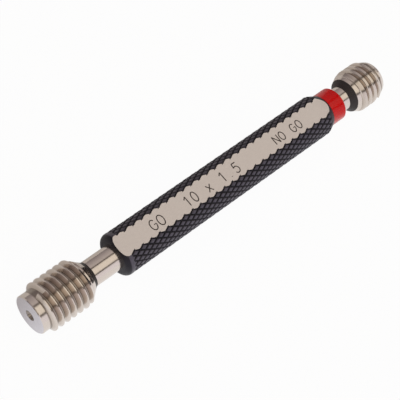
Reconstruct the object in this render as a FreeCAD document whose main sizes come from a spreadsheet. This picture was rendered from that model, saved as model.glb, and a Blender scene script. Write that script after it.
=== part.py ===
# Double-ended thread plug gauge for a metric thread of 10 mm diameter and 1.5 mm pitch.
#
# Three turned and ground pieces: a knurled handle with one ground marking flat, and two
# gauging members, GO and NO-GO, whose slow tapered shanks are bonded into its ends.
#
# Millimetres and degrees. The origin is the centre of the GO end face, +X runs along the
# axis towards the NO-GO end, and the marking flat faces +Z.

import FreeCAD, Part
import Sketcher
import os

SIZES = {
    # handle
    "handle_length": 62.05,        # from the face that one neck leaves to the other
    "handle_diameter": 9.2,        # over the knurl
    "nose_round": 1.25,            # rounded corner at the GO end
    "flat_height": 3.9,            # marking flat above the axis
    "shoulder_length": 1.87,       # cone from the knurl down to the colour band
    "band_diameter": 7.44,         # turned-down end that carries the NO-GO colour
    "band_length": 3.91,
    "band_bevel": 0.4,             # end bevel of the band
    # shanks, and the bores they are bonded into
    "shank_length": 15.0,
    "shank_taper": 50.0,           # one in fifty, on the diameter
    "bond_gap": 0.01,              # film of adhesive all round a shank
    "bore_end_room": 1.5,          # from a shank's end to its bore's floor
    "drill_point": 118.0,          # included angle
    # GO member, distances from its own end face
    "go_face_diameter": 8.0,
    "go_lead_cone": 1.1,
    "go_land_length": 9.94,        # between the lead cone and the back cone
    "go_back_cone": 1.84,
    "go_throat_diameter": 6.84,    # where the ground back cone meets the dark throat
    "go_throat_cone": 0.94,
    "go_neck_diameter": 5.4,
    "go_neck_length": 6.22,
    "go_crest_diameter": 10.012,   # full-form thread
    "go_root_diameter": 8.16,
    "go_crest_width": 0.1875,
    "go_start_distance": 2.09,     # blunt start of the thread ridge, at its middle
    "go_start_angle": 73.4,        # from the member's own +Y towards its +Z
    # NO-GO member, distances from its own end face
    "nogo_face_diameter": 7.42,
    "nogo_lead_cone": 2.35,
    "nogo_land_length": 4.1,
    "nogo_back_cone": 1.94,
    "nogo_throat_diameter": 7.7,
    "nogo_throat_cone": 1.15,
    "nogo_neck_diameter": 5.4,
    "nogo_neck_length": 2.27,
    "nogo_crest_diameter": 9.51,   # truncated thread
    "nogo_root_diameter": 8.2,
    "nogo_crest_width": 0.577,
    "nogo_start_distance": 2.04,
    "nogo_start_angle": 2.6,
    # what both members share
    "pitch": 1.5,
    "flank_angle": 30.0,           # from each flank to a plane square to the axis
    "edge_bevel": 0.12,            # broken edge of an end face
    "centre_drill_diameter": 1.0,
    "centre_drill_depth": 2.2,
    "centre_mouth_diameter": 2.3,
    "centre_cone": 60.0,           # included angle
}

RIDGE_SINK = 0.05                  # how far a thread ridge reaches into the core
TOOL_ROOM = 1.0                    # how far a turning tool stands clear of the work

doc = FreeCAD.newDocument("thread_plug_gauge")


# Sheet, sketches and features


def make_sheet():
    sheet = doc.addObject("Spreadsheet::Sheet", "sizes")
    for row, (name, value) in enumerate(SIZES.items(), start=1):
        sheet.set(f"A{row}", name)
        sheet.set(f"B{row}", str(value))
        sheet.setAlias(f"B{row}", name)
    doc.recompute()


def bound(text):
    """The expression with each size's name read from the sheet."""
    words = text.replace("(", "( ").replace(")", " )").split()
    return " ".join("sizes." + word if word in SIZES else word for word in words)


def make_body(name):
    body = doc.addObject("PartDesign::Body", name)
    body.Label = name
    return body


def make_sketch(body, name, role="XY_Plane"):
    plane = next(item for item in body.Origin.OriginFeatures if item.Role == role)
    sketch = body.newObject("Sketcher::SketchObject", name)
    sketch.AttachmentSupport = (plane, "")
    sketch.MapMode = "FlatFace"
    return sketch


def draw_outline(sketch, points):
    """A closed outline of straight lines, each corner held by two expressions."""
    corners = []
    for across, up in points:
        place = [float(sketch.evalExpression(bound(text))) for text in (across, up)]
        corners.append(FreeCAD.Vector(place[0], place[1], 0))
    for index, corner in enumerate(corners):
        after = corners[(index + 1) % len(corners)]
        sketch.addGeometry(Part.LineSegment(corner, after), False)
    for index, (across, up) in enumerate(points):
        before = (index - 1) % len(points)
        sketch.addConstraint(Sketcher.Constraint("Coincident", before, 2, index, 1))
        for kind, text, size in (
            ("DistanceX", across, corners[index].x),
            ("DistanceY", up, corners[index].y),
        ):
            number = sketch.addConstraint(Sketcher.Constraint(kind, -1, 1, index, 1, size))
            sketch.setExpression(f"Constraints[{number}]", bound(text))
    doc.recompute()


def turn(body, name, kind, points):
    """A Revolution or a Groove about the X axis, from (distance, radius) corners."""
    sketch = make_sketch(body, name + "_outline")
    draw_outline(sketch, points)
    feature = body.newObject("PartDesign::" + kind, name)
    feature.Profile = sketch
    feature.ReferenceAxis = (sketch, ["H_Axis"])
    feature.Angle = 360.0
    doc.recompute()
    return feature


def rim(feature, distance, radius):
    """The name of the round edge about the X axis at this distance and radius."""
    for number, edge in enumerate(feature.Shape.Edges, start=1):
        curve = edge.Curve
        if not isinstance(curve, Part.Circle):
            continue
        off = abs(curve.Center.x - distance) + abs(curve.Radius - radius)
        if off + abs(curve.Center.y) + abs(curve.Center.z) < 1e-4:
            return f"Edge{number}"
    raise ValueError(f"{feature.Label} has no rim at {distance}, radius {radius}")


def dress(body, name, kind, feature, edge, size_name):
    """A Fillet or a Chamfer on one rim, its size bound to the sheet."""
    dressed = body.newObject("PartDesign::" + kind, name)
    dressed.Base = (feature, [edge])
    dressed.setExpression("Radius" if kind == "Fillet" else "Size", bound(size_name))
    doc.recompute()
    return dressed


# Gauging members


def make_member(side):
    """One member from its end face inwards: head, neck and shank, with the thread on its head.

    The blank is turned, the thread ridge is wound round it from its blunt start, and then
    the lead cone and the back cone are turned through ridge and blank together.
    """
    body = make_body(side + "_member")
    size = lambda name: f"{side}_{name}"
    crest = size("crest_diameter") + " / 2"
    root = size("root_diameter") + " / 2"
    face = size("face_diameter") + " / 2"
    neck = size("neck_diameter") + " / 2"
    throat = size("throat_diameter") + " / 2"
    back = size("lead_cone") + " + " + size("land_length")
    throat_start = back + " + " + size("back_cone")
    neck_start = throat_start + " + " + size("throat_cone")
    shank_start = neck_start + " + " + size("neck_length")
    shank_end = shank_start + " + shank_length"

    turn(body, side + "_blank", "Revolution", [
        ("0", "0"),
        ("0", root),
        (neck_start, root),
        (neck_start, neck),
        (shank_start, neck),
        (shank_end, f"{neck} - shank_length / shank_taper / 2"),
        (shank_end, "0"),
    ])

    middle = size("start_distance")
    crest_half = size("crest_width") + " / 2"
    base_half = f"{crest_half} + ( {crest} - {root} + {RIDGE_SINK} ) * tan( flank_angle * 1deg )"
    base = f"{root} - {RIDGE_SINK}"
    outline = make_sketch(body, side + "_ridge_outline")
    outline.AttachmentOffset = FreeCAD.Placement(
        FreeCAD.Vector(), FreeCAD.Rotation(FreeCAD.Vector(1, 0, 0), SIZES[size("start_angle")])
    )
    outline.setExpression("AttachmentOffset.Rotation.Angle", bound(size("start_angle") + " * 1deg"))
    draw_outline(outline, [
        (f"{middle} - ( {base_half} )", base),
        (f"{middle} - {crest_half}", crest),
        (f"{middle} + {crest_half}", crest),
        (f"{middle} + {base_half}", base),
    ])
    ridge = body.newObject("PartDesign::AdditiveHelix", side + "_ridge")
    ridge.Profile = outline
    ridge.ReferenceAxis = (outline, ["H_Axis"])
    ridge.Mode = "pitch-height-angle"
    ridge.setExpression("Pitch", bound("pitch"))
    ridge.setExpression("Height", bound(f"{neck_start} - {middle} - ( {base_half} )"))
    doc.recompute()

    lead_slope = f"( {crest} - {face} ) / ( " + size("lead_cone") + " - edge_bevel )"
    turn(body, side + "_lead", "Groove", [
        (f"- {TOOL_ROOM}", f"{face} - edge_bevel - {TOOL_ROOM}"),
        ("edge_bevel", face),
        (size("lead_cone") + f" + {TOOL_ROOM}", f"{crest} + {TOOL_ROOM} * {lead_slope}"),
        (f"- {TOOL_ROOM}", f"{crest} + {TOOL_ROOM} * {lead_slope}"),
    ])

    back_slope = f"( {crest} - {throat} ) / " + size("back_cone")
    tool_top = f"{crest} + {TOOL_ROOM} * {back_slope} + {TOOL_ROOM}"
    turn(body, side + "_back", "Groove", [
        (f"{back} - {TOOL_ROOM}", f"{crest} + {TOOL_ROOM} * {back_slope}"),
        (throat_start, throat),
        (neck_start, neck),
        (f"{neck_start} + {TOOL_ROOM}", f"{neck} + {TOOL_ROOM}"),
        (f"{neck_start} + {TOOL_ROOM}", tool_top),
        (f"{back} - {TOOL_ROOM}", tool_top),
    ])

    drill = "centre_drill_diameter / 2"
    mouth = "centre_mouth_diameter / 2"
    flare = "tan( centre_cone / 2 * 1deg )"
    turn(body, side + "_centre", "Groove", [
        (f"- {TOOL_ROOM}", "0"),
        (f"- {TOOL_ROOM}", f"{mouth} + {TOOL_ROOM} * {flare}"),
        (f"( {mouth} - {drill} ) / {flare}", drill),
        ("centre_drill_depth", drill),
        (f"centre_drill_depth + {drill} / tan( drill_point / 2 * 1deg )", "0"),
    ])
    return body


# Handle


def make_handle():
    """The handle from its GO end: bored at both ends, rounded, turned down and flatted."""
    body = make_body("handle")
    outer = "handle_diameter / 2"
    band = "band_diameter / 2"
    band_start = "handle_length - band_length"
    depth = "( shank_length + bore_end_room )"
    shrink = f"{depth} / shank_taper / 2"
    go_mouth = "go_neck_diameter / 2 + bond_gap"
    nogo_mouth = "nogo_neck_diameter / 2 + bond_gap"
    point = "tan( drill_point / 2 * 1deg )"

    blank = turn(body, "handle_blank", "Revolution", [
        ("0", go_mouth),
        ("0", outer),
        (f"{band_start} - shoulder_length", outer),
        (band_start, band),
        ("handle_length", band),
        ("handle_length", nogo_mouth),
        (f"handle_length - {depth}", f"{nogo_mouth} - {shrink}"),
        (f"handle_length - {depth} - ( {nogo_mouth} - {shrink} ) / {point}", "0"),
        (f"{depth} + ( {go_mouth} - {shrink} ) / {point}", "0"),
        (depth, f"{go_mouth} - {shrink}"),
    ])
    nose = dress(
        body, "handle_nose", "Fillet", blank,
        rim(blank, 0, SIZES["handle_diameter"] / 2), "nose_round",
    )
    dress(
        body, "band_end", "Chamfer", nose,
        rim(nose, SIZES["handle_length"], SIZES["band_diameter"] / 2), "band_bevel",
    )

    outline = make_sketch(body, "flat_outline", "XZ_Plane")
    draw_outline(outline, [
        (f"- {TOOL_ROOM}", "flat_height"),
        (f"handle_length + {TOOL_ROOM}", "flat_height"),
        (f"handle_length + {TOOL_ROOM}", f"{outer} + {TOOL_ROOM}"),
        (f"- {TOOL_ROOM}", f"{outer} + {TOOL_ROOM}"),
    ])
    flat = body.newObject("PartDesign::Pocket", "marking_flat")
    flat.Profile = outline
    flat.Type = "ThroughAll"
    flat.Midplane = True
    doc.recompute()
    return body


# Assembly


def place(body, distance, spin):
    """Sets a body along the axis and, if asked, turns it end for end about +Z."""
    body.Placement = FreeCAD.Placement(
        FreeCAD.Vector(), FreeCAD.Rotation(FreeCAD.Vector(0, 0, 1), spin)
    )
    body.setExpression("Placement.Base.x", bound(distance))


def check(objects):
    for item in objects:
        if any(word in item.State for word in ("Invalid", "Error")):
            raise RuntimeError(f"{item.Label} is {item.State}")


make_sheet()
go_member = make_member("go")
nogo_member = make_member("nogo")
handle = make_handle()

HEAD = "{0}_lead_cone + {0}_land_length + {0}_back_cone + {0}_throat_cone + {0}_neck_length"
handle_place = HEAD.format("go")
place(go_member, "0", 0)
place(handle, handle_place, 0)
place(nogo_member, handle_place + " + handle_length + " + HEAD.format("nogo"), 180)
doc.recompute()
check(doc.Objects)

os.makedirs("parts", exist_ok=True)
for part in (handle, go_member, nogo_member):
    shape = part.Shape
    if shape.isNull() or not shape.isValid() or len(shape.Solids) != 1:
        raise RuntimeError(f"{part.Label} isn't one valid solid")
    shape.exportStep(f"parts/{part.Label}.step")
    box = shape.optimalBoundingBox(False)
    print(f"{part.Label}: {shape.Volume:.1f} mm3, x {box.XMin:.2f} to {box.XMax:.2f}")
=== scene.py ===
# %% [markdown]
# # A thread plug gauge in its finishes
# A thread plug gauge tests a tapped hole. Its long GO end must screw in, and its short NO-GO end must
# not. Three steel pieces make it up: a knurled handle and two hardened members whose shanks are bonded
# into it. The CAD part already holds their true forms, threads included, so this script keeps the two
# members as they are, rebuilds the handle with its real knurling, and gives each surface its finish.

from collections import namedtuple
from math import cos, hypot, pi, radians, sin, sqrt, tan

import bmesh
import bpy
from mathutils import Matrix, Vector


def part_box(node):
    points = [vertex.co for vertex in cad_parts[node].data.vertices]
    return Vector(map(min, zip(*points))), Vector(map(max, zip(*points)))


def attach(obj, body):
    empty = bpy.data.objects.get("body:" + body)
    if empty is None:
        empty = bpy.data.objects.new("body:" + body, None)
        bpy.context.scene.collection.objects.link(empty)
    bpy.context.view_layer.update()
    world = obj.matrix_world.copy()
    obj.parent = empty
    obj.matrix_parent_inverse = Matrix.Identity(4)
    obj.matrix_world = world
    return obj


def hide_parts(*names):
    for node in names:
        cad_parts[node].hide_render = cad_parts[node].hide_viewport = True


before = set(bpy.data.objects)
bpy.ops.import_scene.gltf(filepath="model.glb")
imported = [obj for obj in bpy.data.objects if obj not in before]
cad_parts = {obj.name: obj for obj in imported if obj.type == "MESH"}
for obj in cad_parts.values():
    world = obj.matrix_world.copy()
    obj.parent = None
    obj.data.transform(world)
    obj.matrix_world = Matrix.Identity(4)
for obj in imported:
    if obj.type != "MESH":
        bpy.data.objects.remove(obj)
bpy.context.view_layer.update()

MM = 0.001
handle_low, handle_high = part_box("handle")
go_low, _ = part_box("go_member")
nogo_low, nogo_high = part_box("nogo_member")
print("handle runs from", handle_low.x / MM, "to", handle_high.x / MM, "mm")

# %% [markdown]
# ## Shader sums written as sums
# Node trees are hard to read as lists of links. A small class stands for one socket and knows how to add,
# subtract, multiply and divide, so that a worn edge can be written as `base + 0.2 * wear`.

# %% A socket that can be used in sums
class Wire:
    """One output socket of a finish's node tree."""

    def __init__(self, finish, socket):
        self.finish = finish
        self.socket = socket

    def maths(self, operation, *values):
        return self.finish.node("ShaderNodeMath", {"operation": operation}, list(values))

    def __add__(self, other):
        return self.maths("ADD", self, other)

    def __sub__(self, other):
        return self.maths("SUBTRACT", self, other)

    def __rsub__(self, other):
        return self.maths("SUBTRACT", other, self)

    def __mul__(self, other):
        return self.maths("MULTIPLY", self, other)

    def __truediv__(self, other):
        return self.maths("DIVIDE", self, other)

    def __pow__(self, other):
        return self.maths("POWER", self, other)

    __radd__ = __add__
    __rmul__ = __mul__

    def over(self, edge, width):
        """0 below the edge and 1 above it, with a soft step of that width."""
        low, high = edge - width / 2, edge + width / 2
        return self.finish.node("ShaderNodeMapRange", {"interpolation_type": "SMOOTHSTEP"},
                                {"Value": self, "From Min": low, "From Max": high})

    def between(self, low, high, width):
        return self.over(low, width) * (1 - self.over(high, width))


print("besides sums, a wire knows:", [name for name in vars(Wire) if not name.startswith("_")])

# %% [markdown]
# ## One way to make a node
# `Finish` holds the node tree of a material or of the world. Its method `node` makes any node: it sets
# the node's own settings first and its inputs after. `places` gives the coordinates that finishes are
# painted by. A finish's colours are in the 0 to 255 steps of a colour chart and turned into the linear
# values of shaders.

# %% Node tree and colours
Places = namedtuple("Places", "point x y z around")


class Finish:
    """A material's or a world's node tree, with the coordinates that the finishes use."""

    def __init__(self, owner):
        owner.use_nodes = True
        self.owner = owner
        self.tree = owner.node_tree
        self.tree.nodes.clear()

    def node(self, kind, settings=None, values=(), output=0):
        made = self.tree.nodes.new(kind)
        for name, value in (settings or {}).items():
            if name == "stops":
                self.set_stops(made.color_ramp, value)
            else:
                setattr(made, name, value)
        pairs = values.items() if isinstance(values, dict) else enumerate(values)
        for name, value in pairs:
            if isinstance(value, Wire):
                self.tree.links.new(value.socket, made.inputs[name])
            elif value is not None:
                made.inputs[name].default_value = value
        return Wire(self, made.outputs[output]) if len(made.outputs) else made

    def set_stops(self, ramp, stops):
        while len(ramp.elements) > len(stops):
            ramp.elements.remove(ramp.elements[-1])
        while len(ramp.elements) < len(stops):
            ramp.elements.new(1.0)
        for element, (place, colour) in zip(ramp.elements, stops):
            element.position = place
            element.color = (*colour, 1.0)

    def mix(self, mask, a, b):
        """Colour a where the mask is 0 and colour b where it is 1."""
        blend = {"data_type": "RGBA", "clamp_factor": True}
        a, b = [v if isinstance(v, Wire) else (*v, 1.0) for v in (a, b)]
        return self.node("ShaderNodeMix", blend, {0: mask, 6: a, 7: b}, output=2)

    def places(self):
        """The point in millimetres, its three coordinates and its distance from the gauge's axis."""
        raw = self.node("ShaderNodeTexCoord", output=3)
        point = self.node("ShaderNodeVectorMath", {"operation": "SCALE"}, {0: raw, "Scale": 1 / MM})
        split = self.node("ShaderNodeSeparateXYZ", None, [point]).socket.node
        x, y, z = [Wire(self, split.outputs[i]) for i in range(3)]
        return Places(point, x, y, z, around=(y * y + z * z) ** 0.5)

    def stretched(self, point, scales):
        return self.node("ShaderNodeVectorMath", {"operation": "MULTIPLY"}, [point, scales])

    def noise(self, point, scale, detail=2.0, roughness=0.5):
        return self.node("ShaderNodeTexNoise", None,
                         {"Vector": point, "Scale": scale, "Detail": detail, "Roughness": roughness})

    def bump(self, height, strength, distance):
        return self.node("ShaderNodeBump", None,
                         {"Strength": strength, "Distance": distance * MM, "Height": height})

    def surface(self, **inputs):
        names = {name.replace("_", " "): value for name, value in inputs.items()}
        shader = self.node("ShaderNodeBsdfPrincipled", None, names)
        self.node("ShaderNodeOutputMaterial", None, {"Surface": shader})


def linear(step):
    """One channel by the sRGB curve: a straight line in the darks and a power above them."""
    share = step / 255
    return share / 12.92 if step < 11 else ((share + 0.055) / 1.055) ** 2.4


def colour(red, green, blue):
    """A colour given in the 0 to 255 steps of a colour chart, as the linear values that shaders use."""
    return tuple(linear(step) for step in (red, green, blue))


def finish_named(name):
    return Finish(bpy.data.materials.new(name))


print("middle grey in linear values:", [round(c, 3) for c in colour(128, 128, 128)])

# %% [markdown]
# ## The handle's section
# The handle is a turned bar, so its outline is a list of rings: a radius at each place along the axis. A
# modifier could carve the knurl, but the grooves would then cut across the faces of a plain grid and look
# torn. Here each ring is turned by half a step against the last, so every edge of the mesh runs along one
# of the two families of grooves, and a few rings for each diamond are enough.

# %% Sizes of the handle, in millimetres
handle_start = handle_low.x / MM
handle_end = handle_high.x / MM
handle_radius = handle_high.y / MM
flat_height = handle_high.z / MM
nose_round = 1.25          # rounded edge at the GO end
shoulder_length = 1.87     # cone from the bar down to the colour band
band_length = 3.91
band_radius = 3.72
band_bevel = 0.4
band_start = handle_end - band_length
shoulder_start = band_start - shoulder_length

bore_mouth_radius = 2.56
bore_end_radius = 2.4
bore_length = 16.5
drill_angle = 118          # included angle of a drill's point, in degrees
bore_point = bore_end_radius / tan(radians(drill_angle / 2))
print("colour band from", round(band_start, 2), "to", round(handle_end, 2), "mm")

# %% [markdown]
# ## The diamond knurl
# Two knurling wheels roll a right-hand and a left-hand set of grooves into the bar. A groove of the first
# set lies where a count p of turns is whole, and one of the second set where a count q is whole. The
# surface sinks towards the nearest groove of either set, and the diamonds left between them rise gently
# to their middles.

# %% Knurl
knurl_starts = 23
diamond_length = 2.15
knurl_depths = (0.30, 0.22)   # of the deeper and the shallower set of grooves
groove_half_width = 0.2       # as a share of the spacing of the grooves
diamond_slope = 0.3           # fall of a diamond from its middle towards a groove, as a share of the depth
plain_lip = 0.25              # left smooth between the rounded nose and the knurl
knurl_start = handle_start + nose_round + plain_lip
knurl_fade = 0.5              # length over which the knurl reaches its full depth
steps_per_groove = 5

ring_points = knurl_starts * steps_per_groove
row_step = diamond_length / (2 * steps_per_groove)


def groove(count):
    """1 at the bottom of a groove and 0 in the middle of a diamond, for a count of grooves passed."""
    away = abs(count - round(count))
    return max(0.0, 1 - away / groove_half_width, diamond_slope * (1 - 2 * away))


def knurl_sink(x, angle):
    """How far the knurl lowers the bar at a place along it and an angle round it."""
    turn = knurl_starts * angle / (2 * pi)
    along = (x - knurl_start) / diamond_length
    fade = min(1.0, max(0.0, (x - knurl_start) / knurl_fade))
    deep, shallow = knurl_depths
    return fade * max(deep * groove(turn + along), shallow * groove(turn - along))


print("knurl:", knurl_starts, "starts each way and", ring_points, "points in a ring")

# %% [markdown]
# ## The handle's rings
# The rings run from the end of one bore, out over the bar, to the end of the other bore. Only the rings
# of the bar are knurled, and there the turned outline caps the radius, so the knurl runs out on the cone
# by itself.

# %% Rings and skin
nose_steps = 10


def turned_radius(x):
    """The turned outline's radius: the rounded nose, the bar, the cone down to the colour band."""
    into_nose = x - handle_start
    if into_nose < nose_round:
        return handle_radius - nose_round + sqrt(nose_round ** 2 - (nose_round - into_nose) ** 2)
    if x > shoulder_start:
        share = min(1.0, (x - shoulder_start) / shoulder_length)
        return handle_radius + share * (band_radius - handle_radius)
    return handle_radius


def handle_rings():
    """Every ring of the handle as (place along the axis, radius at an angle), from bore to bore."""
    def plain(x, radius):
        return x, lambda angle: radius

    def knurled(x):
        return x, lambda angle: min(turned_radius(x), handle_radius - knurl_sink(x, angle))

    front = [plain(handle_start + bore_length, bore_end_radius), plain(handle_start, bore_mouth_radius)]
    nose = [plain(handle_start + nose_round * (1 - cos(step * pi / (2 * nose_steps))),
                  handle_radius - nose_round * (1 - sin(step * pi / (2 * nose_steps))))
            for step in range(nose_steps)]
    rows = int((band_start - knurl_start) / row_step)
    bar = [knurled(knurl_start + row * row_step) for row in range(rows)]
    band = [plain(band_start, band_radius), plain(handle_end - band_bevel, band_radius),
            plain(handle_end, band_radius - band_bevel), plain(handle_end, bore_mouth_radius),
            plain(handle_end - bore_length, bore_end_radius)]
    return front + nose + bar + band


def build_handle(rings):
    """Joins the rings into one closed skin whose ends are the drilled points of the two bores."""
    mesh = bmesh.new()
    loops = []
    for number, (x, radius_at) in enumerate(rings):
        angles = [(2 * step + number % 2) * pi / ring_points for step in range(ring_points)]
        loops.append([mesh.verts.new((x * MM, radius_at(a) * cos(a) * MM, radius_at(a) * sin(a) * MM))
                      for a in angles])
    for number, (near, far) in enumerate(zip(loops, loops[1:])):
        for step in range(ring_points):
            after = (step + 1) % ring_points
            if number % 2 == 0:
                mesh.faces.new((near[step], far[step], near[after]))
                mesh.faces.new((near[after], far[step], far[after]))
            else:
                mesh.faces.new((near[step], far[step], far[after]))
                mesh.faces.new((near[step], far[after], near[after]))
    for loop, tip in ((loops[0], handle_start + bore_length + bore_point),
                      (loops[-1], handle_end - bore_length - bore_point)):
        point = mesh.verts.new((tip * MM, 0, 0))
        for step in range(ring_points):
            mesh.faces.new((loop[step], loop[(step + 1) % ring_points], point))
    bmesh.ops.recalc_face_normals(mesh, faces=mesh.faces)
    return mesh


handle_mesh = build_handle(handle_rings())
print("handle skin:", len(handle_mesh.faces), "faces")

# %% [markdown]
# ## The ground flat
# The marking flat is ground after the knurl is rolled, so the grinding wheel cuts through the grooves and
# leaves a saw-toothed edge. The mesh gets it in the same order: the finished knurl is cut by a plane and
# capped. The largest cap is the flat itself. The slivers beside it keep the black finish.

# %% Grind the flat
# The order of the handle's materials. A new face is BLACKENED.
BLACKENED, GROUND, LACQUERED = range(3)


def grind_flat(mesh):
    cut = bmesh.ops.bisect_plane(mesh, geom=mesh.verts[:] + mesh.edges[:] + mesh.faces[:], dist=1e-8,
                                 plane_co=(0, 0, flat_height * MM), plane_no=(0, 0, 1), clear_outer=True)
    edges = [part for part in cut["geom_cut"] if isinstance(part, bmesh.types.BMEdge) and part.is_boundary]
    caps = bmesh.ops.holes_fill(mesh, edges=edges, sides=0)["faces"]
    flat = max(caps, key=lambda cap: cap.calc_area())
    flat.material_index = GROUND
    bmesh.ops.triangulate(mesh, faces=caps, ngon_method="EAR_CLIP")
    return len(caps)


print("caps on the flat:", grind_flat(handle_mesh))
print("open edges left:", sum(edge.is_boundary for edge in handle_mesh.edges))

# %% [markdown]
# ## Which face gets which finish
# The lacquer covers the band and laps a little onto the cone, and it stays out of the bore. Everything
# but the flat is shaded smooth, with sharp edges kept where two faces meet at more than a set angle.

# %% Finish numbers and the handle's object
lacquer_overlap = 0.25
bore_margin = 0.01
sharp_angle = 28           # in degrees

for face in handle_mesh.faces:
    if face.material_index == GROUND:
        continue
    middle = face.calc_center_median()
    outside_bore = hypot(middle.y, middle.z) / MM > bore_mouth_radius + bore_margin
    if middle.x / MM > band_start - lacquer_overlap and outside_bore:
        face.material_index = LACQUERED
    face.smooth = True


def piece(name, mesh):
    """Turns a finished bmesh into a named piece that belongs to the gauge."""
    data = bpy.data.meshes.new(name)
    mesh.to_mesh(data)
    mesh.free()
    made = bpy.data.objects.new(name, data)
    bpy.context.scene.collection.objects.link(made)
    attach(made, "root")
    return made


handle = piece("knurled_handle", handle_mesh)
handle.data.set_sharp_from_angle(angle=radians(sharp_angle))
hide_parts("handle")
print("handle triangles:", len(handle.data.polygons))

# %% [markdown]
# ## Black oxide
# The handle is blackened in a hot salt bath. The film is thin, so it keeps the shine of the steel below,
# and it is thinnest on the tops of the diamonds, where hands polish it. A ramp on the distance from the
# axis finds those tops, because the knurl is real geometry.

# %% Blackened steel
FULL_OXIDE = colour(44, 42, 49)
WORN_OXIDE = colour(104, 99, 110)
diamond_tops = handle_radius - 0.07
tops_blur = 0.1
turning_marks = (9, 0.6, 0.6)


def blackened():
    finish = finish_named("black_oxide")
    here = finish.places()
    cloud = finish.noise(here.point, 1.3, detail=3)
    tops = here.around.over(diamond_tops, tops_blur)
    base = finish.mix(tops * (0.35 + 0.6 * cloud), FULL_OXIDE, WORN_OXIDE)
    turned = finish.noise(finish.stretched(here.point, turning_marks), 1.0)
    finish.surface(Base_Color=base, Metallic=0.75, Roughness=0.36 + 0.2 * cloud - 0.06 * tops,
                   Normal=finish.bump(turned, 0.25, 0.02))
    return finish.owner


# %% [markdown]
# ## The ground face of the flat
# A surface grinder leaves short, fine scratches along its stroke. Stretched noise makes the scratches,
# and an even noise adds grain. Both shade the colour and feed a faint bump, and the grain alone varies
# the roughness.

# %% Ground flat
GROUND_DULL = colour(222, 214, 209)
GROUND_BRIGHT = colour(242, 234, 229)
grinding_marks = (1.1, 14, 1)


def ground_flat():
    finish = finish_named("ground_flat")
    here = finish.places()
    scratches = finish.noise(finish.stretched(here.point, grinding_marks), 1.0, detail=4, roughness=0.7)
    grain = finish.noise(here.point, 9.0, detail=3, roughness=0.7)
    shade = finish.node("ShaderNodeMapRange", None, {"Value": 0.5 * scratches + 0.5 * grain,
                                                      "From Min": 0.3, "From Max": 0.7})
    base = finish.mix(shade, GROUND_DULL, GROUND_BRIGHT)
    finish.surface(Base_Color=base, Metallic=0.6, Roughness=0.5 + 0.16 * grain,
                   Normal=finish.bump(scratches + grain, 0.3, 0.01))
    return finish.owner


# %% [markdown]
# ## The red band
# Red marks the NO-GO end on every such gauge. It is brushed on as lacquer, so it is glossy, pools
# slightly and stops at a thin dark line where the black oxide begins. A low roughness over a deep,
# saturated base gives it depth.

# %% Red lacquer
RED_THIN = colour(206, 0, 0)
RED_POOLED = colour(218, 2, 3)
RED_EDGE = colour(64, 6, 10)
brush_marks = (1, 0.5, 0.5)
dark_line = band_start + 0.03
dark_line_blur = 0.12


def lacquered():
    finish = finish_named("red_lacquer")
    here = finish.places()
    pools = finish.noise(finish.stretched(here.point, brush_marks), 1.0)
    edge = 1 - here.x.over(dark_line, dark_line_blur)
    red = finish.mix(pools, RED_THIN, RED_POOLED)
    finish.surface(Base_Color=finish.mix(edge, red, RED_EDGE), Roughness=0.16 + 0.06 * pools,
                   Specular_IOR_Level=0.22, Normal=finish.bump(pools, 0.2, 0.05))
    return finish.owner


for material in (blackened(), ground_flat(), lacquered()):
    handle.data.materials.append(material)
print("handle's finishes:", [material.name for material in handle.data.materials])

# %% [markdown]
# ## Marks on the flat
# A gauge says which end is which and what size it tests. The marks are etched in single strokes, so each
# letter here is a few lines and arcs drawn on a unit square. Filled type would look printed. The strokes
# become thin dark ribbons that stand a few thousandths of a millimetre proud. Those of N, 1 and 5 are split
# at their sharp turns, because one ribbon would pinch there.

# %% Stroke letters
stroke_width = 0.23
stroke_flattening = 0.05
letter_width = 0.62        # as a share of the letter's height
letter_step = 0.86         # from one letter to the next, as a share of the height
letters_middle = -0.2      # across the flat

# Each text, where it starts along the gauge and the height of its letters.
words_on_flat = [("GO", 28.4, 2.2), ("10 x 1.5", 37.2, 2.2), ("NO GO", 62.0, 1.9)]


def arc(middle, radii, first, last, steps=14):
    """Points on an oval, from one angle in degrees to another."""
    turns = [radians(first + (last - first) * step / steps) for step in range(steps + 1)]
    return [(middle[0] + radii[0] * cos(turn), middle[1] + radii[1] * sin(turn)) for turn in turns]


LETTERS = {
    "G": [arc((0.5, 0.5), (0.5, 0.5), 45, 360) + [(0.6, 0.5)]],
    "O": [arc((0.5, 0.5), (0.5, 0.5), 0, 360, 24)],
    "N": [[(0, 0), (0, 1)], [(0, 1), (1, 0)], [(1, 0), (1, 1)]],
    "1": [[(0.2, 0.75), (0.6, 1)], [(0.6, 1), (0.6, 0)]],
    "0": [arc((0.5, 0.5), (0.42, 0.5), 0, 360, 24)],
    "5": [[(0.9, 1), (0.2, 1)], [(0.2, 1), (0.12, 0.55)], arc((0.45, 0.33), (0.45, 0.33), 125, -150)],
    "x": [[(0.1, 0), (0.9, 0.7)], [(0.1, 0.7), (0.9, 0)]],
    ".": [[(0.45, 0), (0.45, 0.06)]],
}


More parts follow.
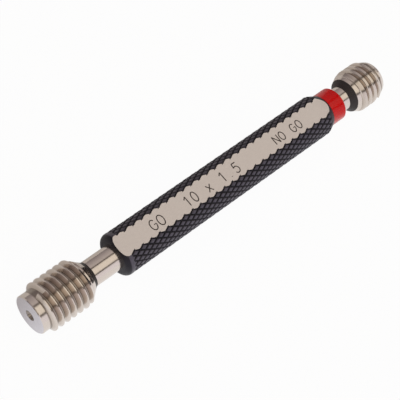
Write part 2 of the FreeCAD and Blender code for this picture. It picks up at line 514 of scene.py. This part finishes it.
def engrave(words):
    """The ribbons of each text, as a mesh that lies on the flat."""
    path = bpy.data.curves.new("strokes", "CURVE")
    path.dimensions = "3D"
    path.bevel_depth = stroke_width / 2 * MM
    path.bevel_resolution = 1
    path.use_fill_caps = True
    for text, start, height in words:
        for place, letter in enumerate(text):
            left = start + place * height * letter_step
            for stroke in LETTERS.get(letter, []):
                spline = path.splines.new("POLY")
                spline.points.add(len(stroke) - 1)
                for point, (across, up) in zip(spline.points, stroke):
                    x = left + across * height * letter_width
                    y = letters_middle + (up - 0.5) * height
                    point.co = (x * MM, y * MM, flat_height * MM, 1)
    pen = bpy.data.objects.new("pen", path)
    bpy.context.scene.collection.objects.link(pen)
    drawn = pen.evaluated_get(bpy.context.evaluated_depsgraph_get())
    mesh = bmesh.new()
    mesh.from_mesh(bpy.data.meshes.new_from_object(drawn))
    bpy.data.objects.remove(pen)
    for vertex in mesh.verts:
        vertex.co.z = flat_height * MM + (vertex.co.z - flat_height * MM) * stroke_flattening
    return mesh


marks = piece("etched_marks", engrave(words_on_flat))
print("marks:", len(marks.data.polygons), "faces")

# %% [markdown]
# ## The burnt strokes
# Etching leaves a matt, brownish black that is a little uneven, so a fine noise moves it between two
# browns.

# %% Etch
BURNT_DARK = colour(44, 34, 29)
BURNT_PALE = colour(72, 60, 52)


def etched():
    finish = finish_named("etch")
    burnt = finish.noise(finish.places().point, 12.0, detail=2)
    finish.surface(Base_Color=finish.mix(burnt, BURNT_DARK, BURNT_PALE), Roughness=0.7)
    return finish.owner


marks.data.materials.append(etched())
print("finish of the marks:", marks.data.materials[0].name)

# %% [markdown]
# ## The hardened members
# Heads and necks are ground bright after hardening. The wheel can't reach the step behind each head, so
# the skin left by the furnace stays black there. The masks follow the places where the grinding stops,
# read along the axis. Other masks paint light and shade into the colour: a tan reflection on the thread
# flanks, read by the distance from the axis, and painted shade in the thread roots and the centre holes.

# %% Ground steel
STEEL_DULL = colour(205, 193, 184)
STEEL_BRIGHT = colour(222, 212, 204)
LAPPED_DULL = colour(186, 182, 190)
LAPPED_BRIGHT = colour(226, 222, 228)
# Painted reflection: the tan that the thread flanks show.
FLANK_REFLECTION_TAN = colour(152, 136, 120)
# Painted shade in the thread roots and in the centre holes at the ends.
SHADED_BROWN = colour(96, 86, 78)
FURNACE_BLACK = colour(58, 53, 53)

go_face = go_low.x / MM
nogo_face = nogo_high.x / MM
face_depth = 0.06          # how deep the lapped look of an end face goes
mask_blur = 0.06
hole_radius = 1.16
hole_depth = 2.6
hole_blur = 0.1
thread_blur = 0.2
root_band, root_blur = 0.07, 0.12       # how far out from the root the painted shade reaches
flank_band, flank_blur = 0.5, 0.8       # and how far the painted tan reflection on the flanks reaches
turning_rings = (16, 0.35, 0.35)
lapping_marks = (1, 12, 0.8)

# Where each member's skin is left black and where its thread runs, along the gauge, and the thread's root.
member_zones = {
    "go_member": {"black": (13.1, 13.95), "thread": (1.5, 11.2), "root_radius": 4.08},
    "nogo_member": {"black": (84.2, 85.51), "thread": (86.6, 92.8), "root_radius": 4.1},
}


def ground_steel(name, black, thread, root_radius):
    finish = finish_named(name)
    here = finish.places()
    rings = finish.noise(finish.stretched(here.point, turning_rings), 1.0, detail=3, roughness=0.6)
    cloud = finish.noise(here.point, 0.8, detail=2)
    wobble = 0.12 * (cloud - 0.5)
    threaded = here.x.between(*thread, thread_blur)
    ground = finish.mix(rings, STEEL_DULL, STEEL_BRIGHT)
    brushed = finish.noise(finish.stretched(here.point, lapping_marks), 1.0, detail=3, roughness=0.7)
    lapped = finish.mix(brushed, LAPPED_DULL, LAPPED_BRIGHT)
    face = (1 - here.x.over(go_face + face_depth, mask_blur)) + here.x.over(nogo_face - face_depth, mask_blur)
    steel = finish.mix(face, ground, lapped)
    skin = (here.x + wobble).between(*black, mask_blur)
    # Painted shade in the thread roots, by the distance from the axis.
    root = (1 - here.around.over(root_radius + root_band, root_blur)) * threaded
    # Painted reflection: a tan laid on the thread flanks, by the distance from the axis.
    flank_reflection = (1 - here.around.over(root_radius + flank_band, flank_blur)) * threaded
    steel_with_flank_reflection = finish.mix(0.4 * flank_reflection, steel, FLANK_REFLECTION_TAN)
    # Painted shade inside the centre hole at each end.
    deep = 1 - here.x.between(hole_depth, nogo_face - hole_depth, hole_blur)
    hole = (1 - here.around.over(hole_radius, mask_blur)) * deep
    # The painted shade of the roots and the centre holes darkens the colour.
    root_and_hole_shade = finish.mix(0.5 * root + 0.7 * hole, steel_with_flank_reflection, SHADED_BROWN)
    base = finish.mix(skin, root_and_hole_shade, FURNACE_BLACK)
    finish.surface(Base_Color=base, Metallic=1.0 - 0.4 * skin,
                   Roughness=0.14 + 0.06 * rings + 0.3 * skin + 0.15 * root,
                   Normal=finish.bump(rings, 0.18, 0.01))
    return finish.owner


for name, zones in member_zones.items():
    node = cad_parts[name]
    material = ground_steel(name + "_steel", **zones)
    if not node.material_slots:
        node.data.materials.append(material)
    for place in node.material_slots:
        place.material = material
    print(name, "has", len(node.material_slots), "material slots")

# %% [markdown]
# ## Floor
# The gauge lies on white card. For the camera and for mirror-like steel the card is nearly pure white,
# and a little of its real shading is mixed in, so that a soft shadow stays under the gauge. In
# reflections the far side of the card shows mostly its real shading, which gives the steel a darker side.

# %% Floor
card_white = 0.96          # share of pure white where the card is seen or mirrored
far_side_drop = 0.8        # taken off that share on the mirrored far side
far_side_blur = 14


def floor_card():
    finish = finish_named("white_card")
    seen = finish.node("ShaderNodeLightPath")
    glossy = Wire(finish, seen.socket.node.outputs["Is Glossy Ray"])
    shown = finish.node("ShaderNodeMath", {"operation": "MAXIMUM"}, [seen, glossy])
    matt = finish.node("ShaderNodeBsdfDiffuse", None, {"Color": (0.86, 0.86, 0.86, 1)})
    white = finish.node("ShaderNodeEmission", None, {"Color": (1, 1, 1, 1), "Strength": 1.0})
    far_side = glossy * finish.places().y.over(0, far_side_blur)
    whiteness = shown * (card_white - far_side_drop * far_side)
    mixed = finish.node("ShaderNodeMixShader", None, {0: whiteness, 1: matt, 2: white})
    finish.node("ShaderNodeOutputMaterial", None, {"Surface": mixed})
    return finish.owner


floor_level = min(go_low.z, nogo_low.z)
floor_reach = 2.0
floor_mesh = bpy.data.meshes.new("floor")
corners = [(-floor_reach, -floor_reach), (floor_reach, -floor_reach),
           (floor_reach, floor_reach), (-floor_reach, floor_reach)]
floor_mesh.from_pydata([(x, y, floor_level) for x, y in corners], [], [(0, 1, 2, 3)])
floor_mesh.materials.append(floor_card())
floor = bpy.data.objects.new("floor", floor_mesh)
bpy.context.scene.collection.objects.link(floor)
print("floor at", round(floor_level / MM, 3), "mm")

# %% [markdown]
# ## Studio
# Polished steel shows its room, so the room matters more than the lamps. Long white and cream panels
# stand beside and above the gauge, parallel to it, with narrow dark gaps between them: the gaps draw the
# thin dark lines along the necks. The world paints these panels by the angle round the gauge's axis, with
# a dim wall at the GO end. The camera itself sees plain white behind everything.

# %% Studio room
WHITE_PANEL = (0.97, 0.95, 1.00)
CREAM_PANEL = (0.98, 0.92, 0.82)
NEAR_GAP = (0.10, 0.08, 0.07)
FAR_GAP = (0.12, 0.10, 0.09)
END_WALL = (0.16, 0.14, 0.12)
end_wall_edge = 0.94
end_wall_blur = 0.12

# The angle round the axis, in degrees, at which each shade stands.
panels = [
    (-180, WHITE_PANEL), (-90, WHITE_PANEL),
    (-60, (0.16, 0.14, 0.14)), (-10, (0.20, 0.18, 0.18)), (25, (0.40, 0.36, 0.36)), (68, (0.60, 0.55, 0.53)),
    (75, NEAR_GAP), (80, NEAR_GAP), (86, CREAM_PANEL), (128, CREAM_PANEL),
    (134, FAR_GAP), (140, FAR_GAP), (147, (0.95, 0.92, 0.95)), (180, WHITE_PANEL),
]


def studio():
    world = bpy.data.worlds.new("studio")
    bpy.context.scene.world = world
    finish = Finish(world)
    direction = finish.node("ShaderNodeTexCoord", output=0)
    split = finish.node("ShaderNodeSeparateXYZ", None, [direction]).socket.node
    x, y, z = [Wire(finish, split.outputs[i]) for i in range(3)]
    turn = finish.node("ShaderNodeMath", {"operation": "ARCTAN2"}, [z, y]) / pi * 0.5 + 0.5
    stops = [((angle + 180) / 360, shade) for angle, shade in panels]
    room = finish.node("ShaderNodeValToRGB", {"stops": stops}, [turn])
    ends = (x * -1).over(end_wall_edge, end_wall_blur)
    shaded = finish.mix(ends, room, END_WALL)
    room_light = finish.node("ShaderNodeBackground", None, {"Color": shaded, "Strength": 1.0})
    white = finish.node("ShaderNodeBackground", None, {"Color": (1, 1, 1, 1), "Strength": 1.0})
    seen = finish.node("ShaderNodeLightPath")
    mixed = finish.node("ShaderNodeMixShader", None, {0: seen, 1: room_light, 2: white})
    finish.node("ShaderNodeOutputWorld", None, {"Surface": mixed})


studio()
print("studio:", len(panels), "stops of shade round the gauge")

# %% [markdown]
# ## Camera
# The camera looks down at the gauge from beside its GO end, rolled so that the gauge climbs across the
# frame. It stands close, so the near head looks larger than the far one.

# %% Camera
aim = Vector((0.042, 0, 0))
azimuth = radians(202.16)
elevation = radians(59.77)
roll = radians(29.81)
distance = 0.2492

towards = Vector((cos(elevation) * cos(azimuth), cos(elevation) * sin(azimuth), sin(elevation)))
camera_data = bpy.data.cameras.new("camera")
camera_data.lens = 113.5
camera_data.sensor_width = 36
camera_data.shift_x = 0.0074
camera_data.shift_y = -0.0030
camera_data.clip_start = 0.01
camera = bpy.data.objects.new("camera", camera_data)
bpy.context.scene.collection.objects.link(camera)
camera.matrix_world = (Matrix.Translation(aim + distance * towards)
                       @ towards.to_track_quat("Z", "Y").to_matrix().to_4x4()
                       @ Matrix.Rotation(roll, 4, "Z"))
bpy.context.scene.camera = camera
print("camera right:", [round(c, 3) for c in camera.matrix_world.col[0][:3]])

bpy.context.scene.view_settings.view_transform = "Standard"

bpy.context.view_layer.update()
